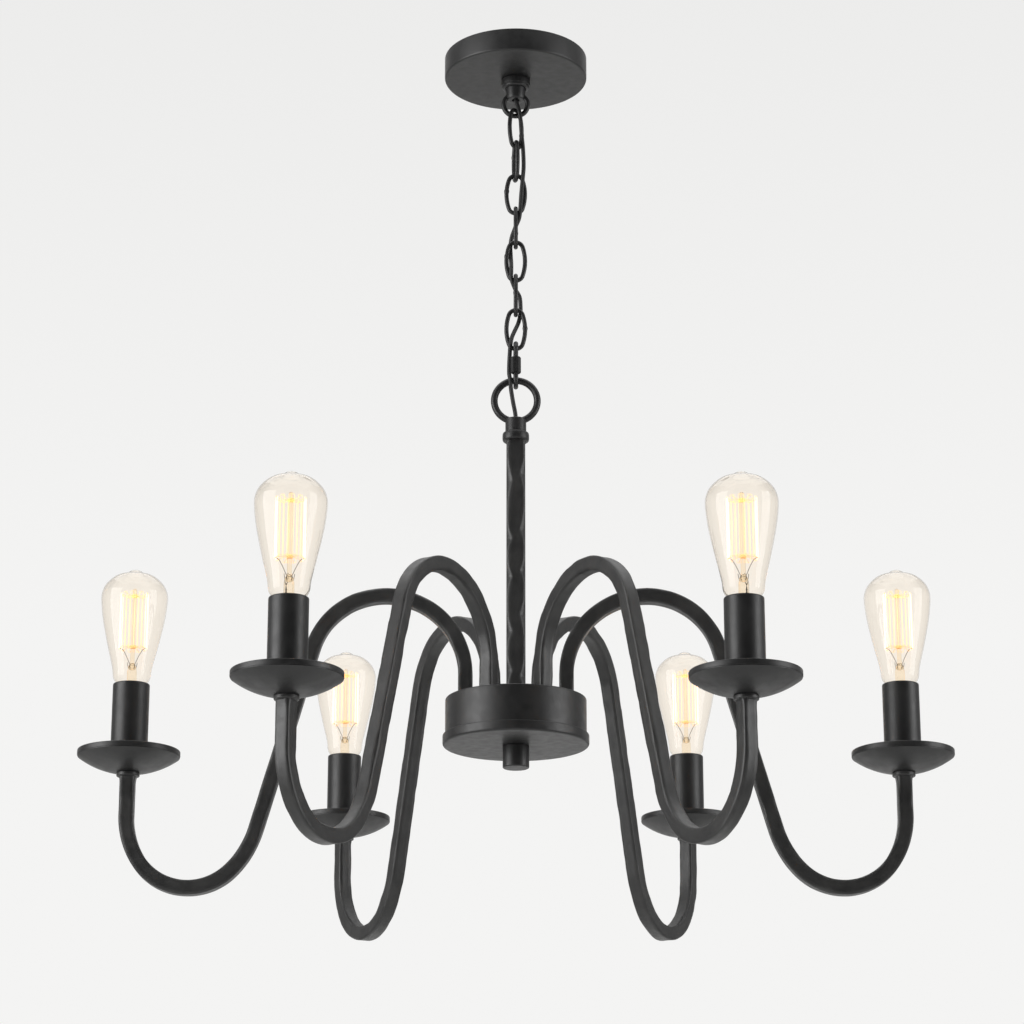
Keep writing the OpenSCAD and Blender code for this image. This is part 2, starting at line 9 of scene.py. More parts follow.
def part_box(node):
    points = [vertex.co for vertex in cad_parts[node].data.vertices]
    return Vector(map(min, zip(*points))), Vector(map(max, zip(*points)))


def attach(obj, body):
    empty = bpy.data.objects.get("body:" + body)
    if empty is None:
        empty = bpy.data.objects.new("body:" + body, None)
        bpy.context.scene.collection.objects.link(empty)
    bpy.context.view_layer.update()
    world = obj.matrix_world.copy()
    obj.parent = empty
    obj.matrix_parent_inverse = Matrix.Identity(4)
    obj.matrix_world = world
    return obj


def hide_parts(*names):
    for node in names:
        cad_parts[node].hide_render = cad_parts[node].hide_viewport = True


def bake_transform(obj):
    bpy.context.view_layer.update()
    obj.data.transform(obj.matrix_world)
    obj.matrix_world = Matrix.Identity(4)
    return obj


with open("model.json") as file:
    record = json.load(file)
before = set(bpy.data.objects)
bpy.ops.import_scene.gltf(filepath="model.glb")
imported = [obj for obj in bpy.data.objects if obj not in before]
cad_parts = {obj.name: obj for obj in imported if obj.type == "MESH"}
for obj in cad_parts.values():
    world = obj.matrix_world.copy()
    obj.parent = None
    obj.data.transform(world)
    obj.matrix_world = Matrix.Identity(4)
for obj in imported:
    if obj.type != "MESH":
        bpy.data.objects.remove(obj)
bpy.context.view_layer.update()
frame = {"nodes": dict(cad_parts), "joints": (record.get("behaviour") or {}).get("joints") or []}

MM = 0.001
scene = bpy.context.scene


# ---- sizes read from the frame, in mm ----


def node_box(node):
    low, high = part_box(node)
    return low / MM, high / MM


def middle(node):
    low, high = node_box(node)
    return (low + high) / 2


HUB_DROP = -node_box("hub_cover")[0].z
HUB_TOP = node_box("hub_body")[1].z
LAMPS = [middle(f"bobeche_{i}") for i in range(1, 7)]
LAMP_R = math.hypot(LAMPS[0].x, LAMPS[0].y)
ARM_TURN = [math.atan2(p.y, p.x) for p in LAMPS]
BOBECHE_Z = node_box("bobeche_1")[0].z
SLEEVE_TOP = node_box("candle_sleeve_1")[1].z
SLEEVE_FOOT = node_box("candle_sleeve_1")[0].z

# ---- camera, below the arms and looking up ----

camera_data = bpy.data.cameras.new("camera")
camera_data.lens = 104.5
camera_data.sensor_width = 36
camera = bpy.data.objects.new("camera", camera_data)
camera.location = (-0.0034, -2.513, -1.2088)
camera.rotation_euler = (math.radians(90 + 17.04), 0, 0)
scene.collection.objects.link(camera)
scene.camera = camera


# ---- materials ----


def new_material(name):
    made = bpy.data.materials.new(name)
    made.use_nodes = True
    return made, made.node_tree, made.node_tree.nodes["Principled BSDF"]


def noise_node(tree, scale, detail=3.0):
    coord = tree.nodes.new("ShaderNodeTexCoord")
    field = tree.nodes.new("ShaderNodeTexNoise")
    field.inputs["Scale"].default_value = scale
    field.inputs["Detail"].default_value = detail
    tree.links.new(coord.outputs["Object"], field.inputs["Vector"])
    return field.outputs["Fac"]


def between(tree, value, low, high, from_low=0.3, from_high=0.7):
    node = tree.nodes.new("ShaderNodeMapRange")
    node.inputs["From Min"].default_value = from_low
    node.inputs["From Max"].default_value = from_high
    node.inputs["To Min"].default_value = low
    node.inputs["To Max"].default_value = high
    tree.links.new(value, node.inputs["Value"])
    return node.outputs["Result"]


def colours(tree, value, first, second):
    ramp = tree.nodes.new("ShaderNodeValToRGB")
    ramp.color_ramp.elements[0].position = 0.35
    ramp.color_ramp.elements[0].color = (*first, 1)
    ramp.color_ramp.elements[1].position = 0.65
    ramp.color_ramp.elements[1].color = (*second, 1)
    tree.links.new(value, ramp.inputs["Fac"])
    return ramp.outputs["Color"]


def bumps(tree, shader, layers):
    """Each layer is (noise scale, detail, height in metres)."""
    normal = None
    for scale, detail, height in layers:
        node = tree.nodes.new("ShaderNodeBump")
        node.inputs["Strength"].default_value = 1.0
        node.inputs["Distance"].default_value = height
        tree.links.new(noise_node(tree, scale, detail), node.inputs["Height"])
        if normal is not None:
            tree.links.new(normal, node.inputs["Normal"])
        normal = node.outputs["Normal"]
    tree.links.new(normal, shader.inputs["Normal"])


def coated(name, first, second, rough, layers, metallic=0.0, patch=60):
    """An opaque finish: two near tones in soft patches, an uneven roughness and layers of relief."""
    made, tree, shader = new_material(name)
    shader.inputs["Base Color"].default_value = (*first, 1)
    shader.inputs["Metallic"].default_value = metallic
    shader.inputs["Roughness"].default_value = rough
    field = noise_node(tree, patch, 4)
    tree.links.new(colours(tree, field, first, second), shader.inputs["Base Color"])
    tree.links.new(
        between(tree, noise_node(tree, patch * 2.3, 5), rough - 0.05, rough + 0.06),
        shader.inputs["Roughness"],
    )
    bumps(tree, shader, layers)
    return made


IRON = coated(
    "powder_coated_iron", (0.0085, 0.0085, 0.0088), (0.0115, 0.0114, 0.0115), 0.43,
    [(1400, 2, 0.00003), (220, 3, 0.00005)],
)
HAMMERED = coated(
    "hammered_iron", (0.018, 0.018, 0.018), (0.029, 0.0286, 0.028), 0.42,
    [(1100, 3, 0.00004), (210, 3, 0.00012), (60, 2, 0.0003)],
)
ZINC = coated(
    "zinc_plate", (0.42, 0.42, 0.41), (0.52, 0.52, 0.5), 0.34,
    [(900, 3, 0.00003)], metallic=1.0, patch=140,
)
GREEN = coated(
    "green_zinc", (0.03, 0.17, 0.05), (0.05, 0.23, 0.08), 0.38,
    [(900, 3, 0.00003)], metallic=0.6, patch=200,
)
CORD_JACKET = coated(
    "cord_jacket", (0.009, 0.009, 0.009), (0.013, 0.013, 0.013), 0.55,
    [(700, 2, 0.00004)],
)
WIRE_JACKET = coated(
    "wire_jacket", (0.2, 0.12, 0.05), (0.26, 0.17, 0.08), 0.5, [(700, 2, 0.00004)],
)
CAP_PLASTIC = coated(
    "cap_plastic", (0.62, 0.58, 0.5), (0.7, 0.66, 0.58), 0.48, [(500, 2, 0.00003)],
)
SOCKET = coated(
    "phenolic", (0.02, 0.018, 0.016), (0.03, 0.026, 0.024), 0.4, [(600, 2, 0.00003)],
)
BRASS = coated(
    "bulb_brass", (0.6, 0.42, 0.17), (0.72, 0.53, 0.25), 0.26,
    [(500, 3, 0.00002)], metallic=1.0, patch=180,
)


# how far the tint has gone towards the edge tone, a painted shade that darkens the outline, by the share that
# the surface is turned away
GLASS_PAINTED_RIM = [(0.1, 0), (0.6, 0.1), (0.86, 0.3), (0.97, 1)]


def glass_material(name, tint, rough, rim_shade, glow):
    """Clear glass with a painted shade that darkens its colour towards its outline, where the wall is seen on
    edge.
    """
    made, tree, shader = new_material(name)
    shader.inputs["Roughness"].default_value = rough
    shader.inputs["Transmission Weight"].default_value = 1.0
    shader.inputs["IOR"].default_value = 1.3
    shader.inputs["Emission Color"].default_value = (1, 0.93, 0.8, 1)
    shader.inputs["Emission Strength"].default_value = glow
    facing = tree.nodes.new("ShaderNodeLayerWeight")
    facing.inputs["Blend"].default_value = 0.5
    curve = tree.nodes.new("ShaderNodeValToRGB")
    ramp = curve.color_ramp
    for _ in range(2):
        ramp.elements.new(0.5)
    for element, (position, share) in zip(ramp.elements, GLASS_PAINTED_RIM):
        element.position = position
        element.color = (*(t * (1 - share) + e * share for t, e in zip(tint, rim_shade)), 1)
    tree.links.new(facing.outputs["Facing"], curve.inputs["Fac"])
    tree.links.new(curve.outputs["Color"], shader.inputs["Base Color"])
    tree.links.new(
        between(tree, noise_node(tree, 45, 2), rough, rough + 0.02), shader.inputs["Roughness"]
    )
    return made


# the fourth argument is the tone of the painted dark outline
GLASS = glass_material("bulb_glass", (1.0, 0.965, 0.915), 0.0, (0.34, 0.28, 0.22), 0.008)
GLASS_STEM = glass_material("bulb_stem_glass", (0.99, 0.9, 0.76), 0.03, (0.75, 0.55, 0.36), 0.0)


def glowing(name, tone, strength):
    made, tree, shader = new_material(name)
    shader.inputs["Base Color"].default_value = (0.9, 0.5, 0.2, 1)
    shader.inputs["Emission Color"].default_value = (*tone, 1)
    shader.inputs["Emission Strength"].default_value = strength
    shader.inputs["Roughness"].default_value = 0.5
    tree.links.new(
        between(tree, noise_node(tree, 400, 2), strength * 0.85, strength * 1.1),
        shader.inputs["Emission Strength"],
    )
    made.cycles.emission_sampling = "NONE"
    return made


# painted highlight: the whiter, brighter strands at the cage's two sides stand in for bloom
FILAMENT_SIDE_BLOOM = glowing("filament_side_bloom", (1.0, 0.94, 0.8), 1.1)
FILAMENT = glowing("filament", (1.0, 0.72, 0.36), 0.72)
# painted light: the support hooks are no lamp, and their glow stands in for the filament's light falling on
# them
SUPPORT_PAINTED_GLOW = glowing("support_painted_glow", (1.0, 0.5, 0.18), 0.45)
LEAD = coated("lead_wire", (0.16, 0.13, 0.1), (0.22, 0.18, 0.13), 0.35, [(900, 2, 0.00002)], metallic=0.6)

# ---- mesh tools; points are in mm ----


def add(name, points, faces, finish, body=None, nodes=(), sharp=32, slot="black_iron"):
    mesh = bpy.data.meshes.new(name)
    mesh.from_pydata([Vector(p) * MM for p in points], [], faces)
    work = bmesh.new()
    work.from_mesh(mesh)
    bmesh.ops.remove_doubles(work, verts=work.verts, dist=1e-7)
    bmesh.ops.recalc_face_normals(work, faces=work.faces)
    work.to_mesh(mesh)
    work.free()
    mesh.shade_smooth()
    mesh.set_sharp_from_angle(angle=math.radians(sharp))
    mesh.materials.append(finish)
    made = bpy.data.objects.new(name, mesh)
    scene.collection.objects.link(made)
    if nodes:
        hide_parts(*nodes)
    if body:
        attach(made, body)
    return made


def joined(*shapes):
    points, faces = [], []
    for p, f in shapes:
        base = len(points)
        points += p
        faces += [[base + i for i in face] for face in f]
    return points, faces


def moved(shape, matrix):
    return [matrix @ Vector(p) for p in shape[0]], shape[1]


def softened(outline, radius, steps=4, closed=True):
    """The outline with each corner rounded; radius is one number or one per corner."""
    n = len(outline)
    made = []
    for i, p in enumerate(outline):
        r = radius[i] if isinstance(radius, (list, tuple)) else radius
        if r == 0 or (not closed and i in (0, n - 1)):
            made.append(tuple(p))
            continue
        here, before, after = Vector(p), Vector(outline[i - 1]), Vector(outline[(i + 1) % n])
        a = here + (before - here).normalized() * min(r, (before - here).length * 0.49)
        b = here + (after - here).normalized() * min(r, (after - here).length * 0.49)
        for k in range(steps + 1):
            t = k / steps
            made.append(tuple(a * (1 - t) ** 2 + here * 2 * t * (1 - t) + b * t * t))
    return made


def lathe(outline, sides=96, closed=True):
    """Turns an outline of (radius, height) about the Z axis."""
    points, faces = [], []
    for k in range(sides):
        a = 2 * math.pi * k / sides
        points += [Vector((r * math.cos(a), r * math.sin(a), z)) for r, z in outline]
    n = len(outline)
    for k in range(sides):
        for j in range(n if closed else n - 1):
            a, b = k * n + j, k * n + (j + 1) % n
            c, d = (k + 1) % sides * n + (j + 1) % n, (k + 1) % sides * n + j
            faces.append([a, b, c, d])
    return points, faces


def sweep(line, section, plane=None, closed=False):
    """Carries section(i), a list of (across, up) offsets, along the line.

    In a flat line, up is the plane's normal.
    """
    n = len(line)
    rings, up = [], None
    for i in range(n):
        if closed:
            heading = (line[(i + 1) % n] - line[i - 1]).normalized()
        else:
            heading = (line[min(i + 1, n - 1)] - line[max(i - 1, 0)]).normalized()
        if plane is not None:
            up = plane
        else:
            guess = up if up is not None else Vector((0, 1, 0))
            up = (guess - heading * guess.dot(heading)).normalized()
        across = heading.cross(up)
        rings.append([line[i] + across * a + up * b for a, b in section(i)])
    m = len(rings[0])
    faces = []
    for i in range(n if closed else n - 1):
        for k in range(m):
            a, b = i * m, (i + 1) % n * m
            c = (k + 1) % m
            faces.append([a + k, a + c, b + c, b + k])
    if not closed:
        faces += [list(range(m)), [(n - 1) * m + k for k in range(m)]]
    return [p for ring in rings for p in ring], faces


def ring_section(radius, sides):
    return [
        (radius * math.cos(2 * math.pi * k / sides), radius * math.sin(2 * math.pi * k / sides))
        for k in range(sides)
    ]


def wander(*where):
    return noise.noise(Vector(where))


# ---- supply cord: woven down the chain, its route bending round each link it passes, cut into one piece per hinge ----

CORD_D = 3.8
CORD_ROUTE = [
    (0, 0, -1.5), (0, 0, -12), (0, 0, -24), (0, 0, -36), (0.2, -0.4, -41), (2.4, -3.4, -50),
    (3.6, -5, -56), (4.6, -4.6, -64), (5.4, -2.2, -76), (6.6, 0, -88), (7.2, 0.4, -100),
    (7.2, -2, -110), (6.6, -4.6, -119), (5.8, -4.8, -128), (4.8, -4.4, -140), (4.2, -4.3, -151),
    (3, -3.2, -160), (-0.4, -1.2, -168), (-3.6, 2.6, -176), (-4.8, 4.5, -184), (-4.6, 3.4, -193),
    (-4.1, -0.8, -203), (-4.1, -4.3, -212), (-4, -4.5, -219), (-0.6, -1.6, -228), (3.4, 0.4, -235),
    (4.3, 2.4, -243), (4.2, 4.4, -250), (2.4, 3, -259), (-0.6, 0.2, -267), (-3.4, -3, -275),
    (-4.7, -4.3, -282), (-5.4, -3.4, -291), (-5.9, -2.2, -301), (-5.9, -3.1, -310),
    (-5, -5.4, -317), (-4.2, -4.8, -326), (-2.4, -2.8, -337), (-0.6, -0.8, -346), (0, 0, -353),
    (0, 0, -364),
]
CORD_BEND_R = 16
CORD_BEND_Z = HUB_TOP - 9
CORD_TAIL = 21


def spline(points, steps):
    points = [Vector(p) for p in points]
    last = len(points) - 1
    made = []
    for i in range(last):
        a, b, c, d = (points[min(max(k, 0), last)] for k in (i - 1, i, i + 1, i + 2))
        for k in range(steps):
            t = k / steps
            made.append(
                b + ((c - a) + ((a * 2 - b * 5 + c * 4 - d) + (b * 3 - a - c * 3 + d) * t) * t) * (t / 2)
            )
    return [*made, points[-1]]


def cord_line():
    line = spline(CORD_ROUTE, 6)
    z = -370.0
    while z > CORD_BEND_Z + 4:
        line.append(Vector((0, 0, z)))
        z -= 6
    for k in range(13):
        a = math.pi / 2 * k / 12
        line.append(
            Vector((CORD_BEND_R * (1 - math.cos(a)), 0, CORD_BEND_Z - CORD_BEND_R * math.sin(a)))
        )
    return [*line, Vector((CORD_TAIL, 0, CORD_BEND_Z - CORD_BEND_R))]


hinges = [joint for joint in frame["joints"] if joint["type"] == "hinge"]
joint_z = [j["pos_m"][2] / MM for j in hinges]
cuts = [(a + b) / 2 for a, b in zip(joint_z, joint_z[1:])]
whole_cord = cord_line()
for index, joint in enumerate(hinges):
    top = cuts[index - 1] if index else 0.0
    foot = cuts[index] if index < len(cuts) else -1000.0
    first = min(range(len(whole_cord)), key=lambda i: (abs(whole_cord[i].z - top), i))
    last = min(range(len(whole_cord)), key=lambda i: (abs(whole_cord[i].z - foot), i))
    if index == len(hinges) - 1:
        last = len(whole_cord) - 1
    part = whole_cord[first : last + 1]
    name = f"supply_cord_{index + 1}"
    points, faces = sweep(part, lambda i: ring_section(CORD_D / 2, 16))
    piece = add(name, points, faces, CORD_JACKET, nodes=["supply_cord"], slot="cord_jacket")
    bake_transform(piece)

# ---- ceiling canopy, collar nut and loop ----

CANOPY_R = node_box("canopy")[1].x
CANOPY_FOOT = node_box("canopy")[0].z
CANOPY_T = 1.2
add(
    "canopy_shell",
    *lathe(
        softened(
            [
                (10.25, CANOPY_FOOT), (CANOPY_R, CANOPY_FOOT), (CANOPY_R, 0), (CANOPY_R - CANOPY_T, 0),
                (CANOPY_R - CANOPY_T, CANOPY_FOOT + CANOPY_T), (10.25, CANOPY_FOOT + CANOPY_T),
            ],
            [0.3, 2.2, 0.4, 0.4, 1.2, 0.3], 6,
        ),
        160,
    ),
    IRON, "canopy", ["canopy"],
)
nut_foot = node_box("collar_nut")[0].z
add(
    "collar_nut_body",
    *lathe(
        softened(
            [
                (9.55, nut_foot), (11.0, nut_foot), (12.2, nut_foot + 1), (12.2, nut_foot + 2.6),
                (13.25, nut_foot + 2.6), (13.25, nut_foot + 9), (9.55, nut_foot + 9),
            ],
            [0.2, 0.4, 0.4, 0.2, 0.4, 0.9, 0.2], 3,
        ),
        96,
    ),
    IRON, "collar_nut", ["collar_nut"],
)


def round_ring(outer_d, wire, z, sides=96, section=24):
    r = (outer_d - wire) / 2
    line = [
        Vector((r * math.cos(2 * math.pi * k / sides), 0, z + r * math.sin(2 * math.pi * k / sides)))
        for k in range(sides)
    ]
    return sweep(line, lambda i: ring_section(wire / 2, section), Vector((0, 1, 0)), closed=True)


loop_box = node_box("canopy_loop")
loop_ring_z = loop_box[0].z + 13.25
add(
    "canopy_loop_body",
    *joined(
        lathe(
            softened(
                [
                    (3.5, -41), (8.0, -41), (8.4, -38.5), (9.2, -30), (9.25, -16), (4.85, -16),
                    (4.85, -27), (3.5, -27),
                ],
                [0.4, 1.4, 0.8, 0.5, 0.5, 0.2, 0.2, 0.2], 4,
            ),
            96,
        ),
        round_ring(26.5, 4.6, loop_ring_z),
    ),
    IRON, "ceiling_fittings", ["canopy_loop"],
)

# ---- chain ----

LINK_L = node_box("chain_link_3")[1].z - node_box("chain_link_3")[0].z
LINK_W = 20.8
LINK_WIRE = 4.0
LINK_END_R = 6.5
LINK_TURN = [49, 102, 0, 90, 0, 90, 0]
# the side, height and half length of the weld on each link
WELD = [(1, -4), (1, 7), (-1, 3), (1, -2), (-1, 5), (1, 6), (1, 1)]


def oval_line(steps=26):
    """An oval of four arcs in the XZ plane about the origin."""
    half_l = (LINK_L - LINK_WIRE) / 2 - LINK_END_R
    half_w = (LINK_W - LINK_WIRE) / 2
    side_r = (half_l**2 + half_w**2 - LINK_END_R**2) / (2 * (half_w - LINK_END_R))
    side_a = math.atan2(half_l, side_r - half_w)
    line = []
    for turn in (0, math.pi):
        for k in range(steps):
            a = -side_a + 2 * side_a * k / steps
            line.append((half_w - side_r + side_r * math.cos(a), side_r * math.sin(a), turn))
        for k in range(steps):
            a = side_a + (math.pi - 2 * side_a) * k / steps
            line.append((LINK_END_R * math.cos(a), half_l + LINK_END_R * math.sin(a), turn))
    return [
        Vector((x * math.cos(t) - z * math.sin(t), 0, x * math.sin(t) + z * math.cos(t)))
        for x, z, t in line
    ]


def chain_link(index):
    side, height = WELD[index]
    line = oval_line()
    spot = Vector((side * 8.4, 0, height))

    def section(i):
        d = (line[i] - spot).length
        bead = 0.42 * math.exp(-((d / 1.5) ** 2)) - 0.1 * math.exp(-(((d - 2.6) / 0.5) ** 2))
        rough = 0.05 * wander(i * 0.21, index * 5.1, 0)
        r = LINK_WIRE / 2 + bead + rough - 0.03
        return ring_section(r if d < 4 else min(r, LINK_WIRE / 2), 20)

    return sweep(line, section, Vector((0, 1, 0)), closed=True)


for i in range(7):
    centre = middle(f"chain_link_{i + 1}")
    place = Matrix.Translation(centre) @ Matrix.Rotation(math.radians(LINK_TURN[i]), 4, "Z")
    add(
        f"link_{i + 1}", *moved(chain_link(i), place), IRON, f"chain_link_{i + 1}",
        [f"chain_link_{i + 1}"], sharp=40,
    )

# ---- quick link with its threaded side and nut ----

quick_low, quick_high = node_box("quick_link")
QUICK_WIRE = quick_high.x - quick_low.x
QUICK_R = (quick_high.y - quick_low.y - QUICK_WIRE) / 2
leg_top = quick_high.z - QUICK_WIRE / 2 - QUICK_R
leg_foot = quick_low.z + QUICK_WIRE / 2 + QUICK_R
nut_low, nut_high = node_box("quick_link_nut")


def quick_line():
    """From the gap on the front side, round the bottom, up the back and over the top to the gap."""
    line = []
    gap_foot, gap_top = quick_low.z + 15.5, quick_low.z + 21.5
    z = gap_foot
    while z > leg_foot:
        line.append((-QUICK_R, z))
        z -= 0.25
    line += [
        (-QUICK_R * math.cos(math.pi * k / 32), leg_foot - QUICK_R * math.sin(math.pi * k / 32))
        for k in range(33)
    ]
    line += [(QUICK_R, leg_foot + (leg_top - leg_foot) * k / 14) for k in range(1, 14)]
    line += [
        (QUICK_R * math.cos(math.pi * k / 32), leg_top + QUICK_R * math.sin(math.pi * k / 32))
        for k in range(33)
    ]
    z = leg_top
    while z > gap_top:
        z = max(z - 0.25, gap_top)
        line.append((-QUICK_R, z))
    return [Vector((0, y, z)) for y, z in line]


def threaded_section(line):
    def section(i):
        p = line[i]
        r = QUICK_WIRE / 2 - 0.02
        threaded = p.y < -QUICK_R + 0.01 and nut_low.z - 3 < p.z < nut_high.z + 8.5
        made = []
        for k in range(24):
            a = 2 * math.pi * k / 24
            cut = 0
            if threaded:
                cut = 0.26 * (0.5 + 0.5 * math.cos(2 * math.pi * p.z / 1.0 + a))
            made.append(((r - cut) * math.cos(a), (r - cut) * math.sin(a)))
        return made

    return section


line = quick_line()
add(
    "quick_link_body", *sweep(line, threaded_section(line), Vector((1, 0, 0))), IRON,
    "quick_link", ["quick_link"], sharp=50,
)


def hex_nut(flats, bore, foot, top, chamfer, centre, sides_per_flat=6):
    """A hexagon with domed corners at both ends, bored through."""
    n = 6 * sides_per_flat
    rows = [(foot, chamfer), (foot + chamfer, 0), (top - chamfer, 0), (top, chamfer)]
    points, faces = [], []
    for k in range(n):
        a = 2 * math.pi * k / n
        reach = flats / 2 / math.cos((a % (math.pi / 3)) - math.pi / 6)
        for z, cut in rows:
            r = min(reach, flats / 2 / math.cos(math.pi / 6) - cut)
            points.append(centre + Vector((r * math.cos(a), r * math.sin(a), z)))
        for z in (top, foot):
            points.append(centre + Vector((bore * math.cos(a), bore * math.sin(a), z)))
    for k in range(n):
        for j in range(6):
            a, b = k * 6 + j, k * 6 + (j + 1) % 6
            c, d = (k + 1) % n * 6 + (j + 1) % 6, (k + 1) % n * 6 + j
            faces.append([a, b, c, d])
    return points, faces


add(
    "quick_link_sleeve",
    *hex_nut(8, 2.32, nut_low.z, nut_high.z, 0.5, Vector((0, -QUICK_R, 0))),
    IRON, "quick_link_nut", ["quick_link_nut"], sharp=25,
)

# ---- stem ring, collar and bead ----

stem_ring_d = node_box("stem_loop")[1].x - node_box("stem_loop")[0].x
stem_ring_z = node_box("stem_loop")[1].z - stem_ring_d / 2
BEAD_FOOT, BEAD_TOP, COLLAR_TOP = -373.6, -365.2, -352.0
add(
    "stem_ring_collar",
    *joined(
        lathe(
            softened(
                [
                    (3.5, BEAD_FOOT), (11.9, BEAD_FOOT), (11.9, BEAD_TOP), (9.35, BEAD_TOP),
                    (9.35, COLLAR_TOP), (3.5, COLLAR_TOP),
                ],
                [0.2, 3.0, 3.0, 0.8, 1.6, 0.6], 6,
            ),
            96,
        ),
        round_ring(stem_ring_d, 6.2, stem_ring_z, 128, 28),
    ),
    IRON, "fixture", ["stem_loop"], sharp=45,
)

# ---- hammered stem: a square bar whose corners are beaten back in scallops ----

STEM_H = (node_box("stem_tube")[1].x - node_box("stem_tube")[0].x) / 2


def hammered_section(half, corners, bow):
    """A square with its corners cut by the given amounts and each face bowed in or out a little."""
    made = []
    for q in range(4):
        cut, other = corners[q], corners[(q + 1) % 4]
        turn = math.pi / 2 * q
        local = [
            (half, -half + cut),
            (half + bow[q] * 0.8, -half + cut + (2 * half - cut - other) * 0.25),
            (half + bow[q], (cut - other) / 2),
            (half + bow[q] * 0.8, half - other - (2 * half - cut - other) * 0.25),
            (half, half - other),
            (half - other * 0.3, half - other * 0.62),
            (half - other * 0.62, half - other * 0.3),
        ]
        made += [
            (x * math.cos(turn) - y * math.sin(turn), x * math.sin(turn) + y * math.cos(turn))
            for x, y in local
        ]
    return made


HAMMER_PITCH = 45.0


def stem_section(z):
    """Each blow widens the face and the edge draws back to a cusp between two blows."""
    corners = []
    for q in range(4):
        beat = z / HAMMER_PITCH + 0.06 * q + 0.35 * wander(z / 70, q * 1.3, 1.0)
        cusp = (1 - abs(math.sin(math.pi * beat))) ** 1.5
        corners.append(1.6 + 4.2 * cusp + 0.3 * wander(z / 11, q * 2.1, 4.0))
    bow = [0.16 * wander(z / 12, q * 4.7, 8.0) - 0.16 for q in range(4)]
    return hammered_section(STEM_H - 0.05, corners, bow)


def bored(outer, line, radius, plane):
    """The swept solid with a bore: the outside and the inside as one closed wall."""
    n = len(line)
    side = sweep(line, outer, plane)
    m = len(outer(0))
    inner = sweep(line, lambda i: ring_section(radius, m), plane)
    points = side[0] + inner[0]
    base = len(side[0])
    faces = side[1][:-2] + [[base + k for k in f] for f in inner[1][:-2]]
    shift = min(range(m), key=lambda s: (points[0] - points[base + s]).length)
    for end in (0, (n - 1) * m):
        for k in range(m):
            c = (k + 1) % m
            faces.append(
                [end + k, end + c, base + end + (c + shift) % m, base + end + (k + shift) % m]
            )
    return points, faces


stem_z = [BEAD_FOOT + (HUB_TOP - BEAD_FOOT) * k / 150 for k in range(151)]
stem_line = [Vector((0, 0, z)) for z in stem_z]
add(
    "hammered_stem",
    *bored(lambda i: stem_section(stem_z[i]), stem_line, 4.85, Vector((0, 1, 0))),
    HAMMERED, "fixture", ["stem_tube"], sharp=60,
)

# ---- hub ----

COVER_R = node_box("hub_cover")[1].x
COVER_TOP = node_box("hub_cover")[1].z
HUB_R = node_box("hub_body")[1].x
add(
    "hub_cup",
    *lathe(
        softened(
            [
                (4.85, HUB_TOP), (HUB_R, HUB_TOP), (HUB_R, 2.05 - HUB_DROP), (HUB_R - 2, 2.05 - HUB_DROP),
                (HUB_R - 2, HUB_TOP - 3), (4.85, HUB_TOP - 3),
            ],
            [0.2, 1.3, 0.3, 0.3, 1.2, 0.2], 5,
        ),
        160,
    ),
    IRON, "fixture", ["hub_body"],
)
add(
    "hub_cover_plate",
    *lathe(
        softened(
            [
                (5.1, -HUB_DROP), (COVER_R, -HUB_DROP), (COVER_R, COVER_TOP), (HUB_R + 0.3, COVER_TOP),
                (HUB_R + 0.3, 2 - HUB_DROP), (5.1, 2 - HUB_DROP),
            ],
            [0.2, 2.6, 0.8, 0.5, 0.8, 0.2], 6,
        ),
        160,
    ),
    IRON, "hub_cover", ["hub_cover"],
)
finial_low, finial_high = node_box("hub_finial")
add(
    "hub_finial_cap",
    *lathe(
        softened(
            [
                (0, finial_low.z), (11.5, finial_low.z), (11.5, finial_high.z), (5.1, finial_high.z),
                (5.1, finial_high.z - 14), (0, finial_high.z - 14),
            ],
            [0, 1.4, 0.5, 0.2, 0.2, 0], 5, closed=False,
        ),
        96, closed=False,
    ),
    IRON, "hub_finial", ["hub_finial"],
)

# ---- arms: the bar rises from the hub, loops over, sweeps down and turns up under its dish ----

BAR = 12.7
FOOT_R = 43.94
ARM_MOVES = [(22, 0), (71, 88), (64.5, 76), (166.5, 0), (84, -28), (51, -103), (72, -33)]


# the disc at the head of the bar, and how far below it the bar starts to widen
DISC_R = 10.0
DISC_T = 3.2
NECK = 7.0


def arm_line(step=2.6):
    x, z, lean = FOOT_R, HUB_TOP, 0.0
    line = []
    for size, turn in ARM_MOVES:
        if turn == 0:
            n = round(size / step)
            line += [(x + size * k / n * math.sin(lean), z + size * k / n * math.cos(lean)) for k in range(n)]
            x, z = x + size * math.sin(lean), z + size * math.cos(lean)
            continue
        s = 1 if turn > 0 else -1
        cx, cz = x + s * size * math.cos(lean), z - s * size * math.sin(lean)
        bend = math.radians(turn)
        n = round(size * abs(bend) / step)
        line += [
            (cx - s * size * math.cos(lean + bend * k / n), cz + s * size * math.sin(lean + bend * k / n))
            for k in range(n)
        ]
        lean += bend
        x, z = cx - s * size * math.cos(lean), cz + s * size * math.sin(lean)
    top = BOBECHE_Z - DISC_T + 0.3
    n = max(2, round((top - z) / step))
    line += [(LAMP_R, z + (top - z) * k / n) for k in range(n + 1)]
    return [Vector((x, 0, z)) for x, z in line]


def arm_section(arm, s, total):
    """s is the distance along the bar; the hammer marks fade out towards the head of the bar."""
    neck = max(0.0, 1 - (total - s) / NECK) ** 2
    corners, bow = [], []
    for q in range(4):
        mark = wander(s / 17, q * 5.3, arm * 7.1)
        deep = max(0.0, mark) ** 0.8
        cut = 0.85 + 1.5 * deep + 0.25 * wander(s / 6, q * 3.1, arm * 2.7)
        corners.append(cut + (3.2 - cut) * neck)
        bow.append((0.22 * wander(s / 13, q * 9.1, arm * 4.3) - 0.15) * (1 - neck))
    half = min(BAR / 2 - 0.03, BAR / 2 - 0.06 + 0.1 * wander(s / 30, arm * 3.7, 2.0))
    return hammered_section(half + 1.1 * neck, corners, bow)


